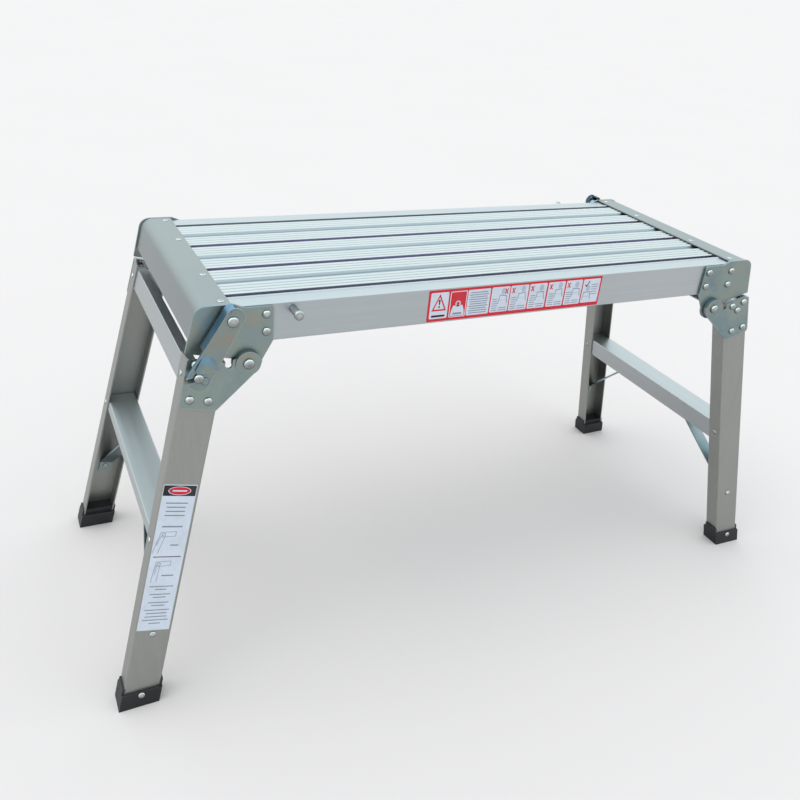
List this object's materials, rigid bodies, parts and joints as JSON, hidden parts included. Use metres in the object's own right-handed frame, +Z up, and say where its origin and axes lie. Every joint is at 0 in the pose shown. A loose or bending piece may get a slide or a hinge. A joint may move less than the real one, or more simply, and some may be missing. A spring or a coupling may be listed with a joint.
{
  "type": "folding work platform",
  "caption": "Low folding work platform: ribbed aluminium deck on splayed channel legs that fold under it, with a step and brace at each end and hook latches on the hinges.",
  "frame": {"origin": "on the floor under the middle of the deck", "axes": "+X along the deck towards its right end, +Y across it towards the rear, +Z up"},
  "size_m": [1.0158, 0.4048, 0.4958],
  "materials": {
    "extruded_aluminium": "satin mill finish with fine lines along the extrusion",
    "sheet_aluminium": "satin sheet",
    "zinc_plate": "bright zinc plate with a faint blue-green tint",
    "fasteners": "zinc-plated rivets, pins and posts",
    "rubber": "matte moulded black rubber",
    "label": null
  },
  "bodies": {
    "deck": {"rail_front": "extruded_aluminium", "rail_rear": "extruded_aluminium", "plank_front": "extruded_aluminium", "plank_middle": "extruded_aluminium", "plank_rear": "extruded_aluminium", "end_cap_left": "sheet_aluminium", "end_cap_right": "sheet_aluminium", "cross_member_left": "extruded_aluminium", "cross_member_middle": "extruded_aluminium", "cross_member_right": "extruded_aluminium", "hinge_plate_front_left": "zinc_plate", "hinge_plate_front_right": "zinc_plate", "hinge_plate_rear_left": "zinc_plate", "hinge_plate_rear_right": "zinc_plate", "hinge_plate_rivets": "fasteners", "end_cap_rivets": "fasteners", "fold_pivots": "fasteners", "latch_pivots": "fasteners", "latch_stow_pegs": "fasteners", "rail_label": "label"},
    "left_frame": {"leg_front_left": "extruded_aluminium", "leg_rear_left": "extruded_aluminium", "crossbar_left": "extruded_aluminium", "step_left": "sheet_aluminium", "brace_left": "zinc_plate", "hinge_leaf_front_left": "zinc_plate", "hinge_leaf_rear_left": "zinc_plate", "frame_rivets_left": "fasteners", "foot_front_left": "rubber", "foot_rear_left": "rubber", "foot_screws_left": "fasteners", "latch_pin_left": "fasteners", "leg_label": "label"},
    "right_frame": {"leg_front_right": "extruded_aluminium", "leg_rear_right": "extruded_aluminium", "crossbar_right": "extruded_aluminium", "step_right": "sheet_aluminium", "brace_right": "zinc_plate", "hinge_leaf_front_right": "zinc_plate", "hinge_leaf_rear_right": "zinc_plate", "frame_rivets_right": "fasteners", "foot_front_right": "rubber", "foot_rear_right": "rubber", "foot_screws_right": "fasteners", "latch_pin_right": "fasteners"},
    "latch_left": {"latch_arm_left": "zinc_plate", "latch_spring_left": "fasteners"},
    "latch_right": {"latch_arm_right": "zinc_plate", "latch_spring_right": "fasteners"}
  },
  "joints": [
    {"name": "left_fold", "type": "hinge", "parent": "deck", "child": "left_frame", "pos_m": [-0.3375, 0, 0.425], "axis": [0, -1, 0], "range_deg": [0, 107.5]},
    {"name": "right_fold", "type": "hinge", "parent": "deck", "child": "right_frame", "pos_m": [0.3375, 0, 0.425], "axis": [0, 1, 0], "range_deg": [0, 98.5]},
    {"name": "latch_left_swing", "type": "hinge", "parent": "deck", "child": "latch_left", "pos_m": [-0.3575, -0.17, 0.481], "axis": [0, -1, 0], "range_deg": [0, 105]},
    {"name": "latch_right_swing", "type": "hinge", "parent": "deck", "child": "latch_right", "pos_m": [0.3575, 0.17, 0.481], "axis": [0, 1, 0], "range_deg": [0, 105]}
  ],
  "couplings": [
    {"joint": "latch_left_swing", "follows": "left_fold", "ratio": 0.9767},
    {"joint": "latch_right_swing", "follows": "right_fold", "ratio": 1.0659}
  ]
}
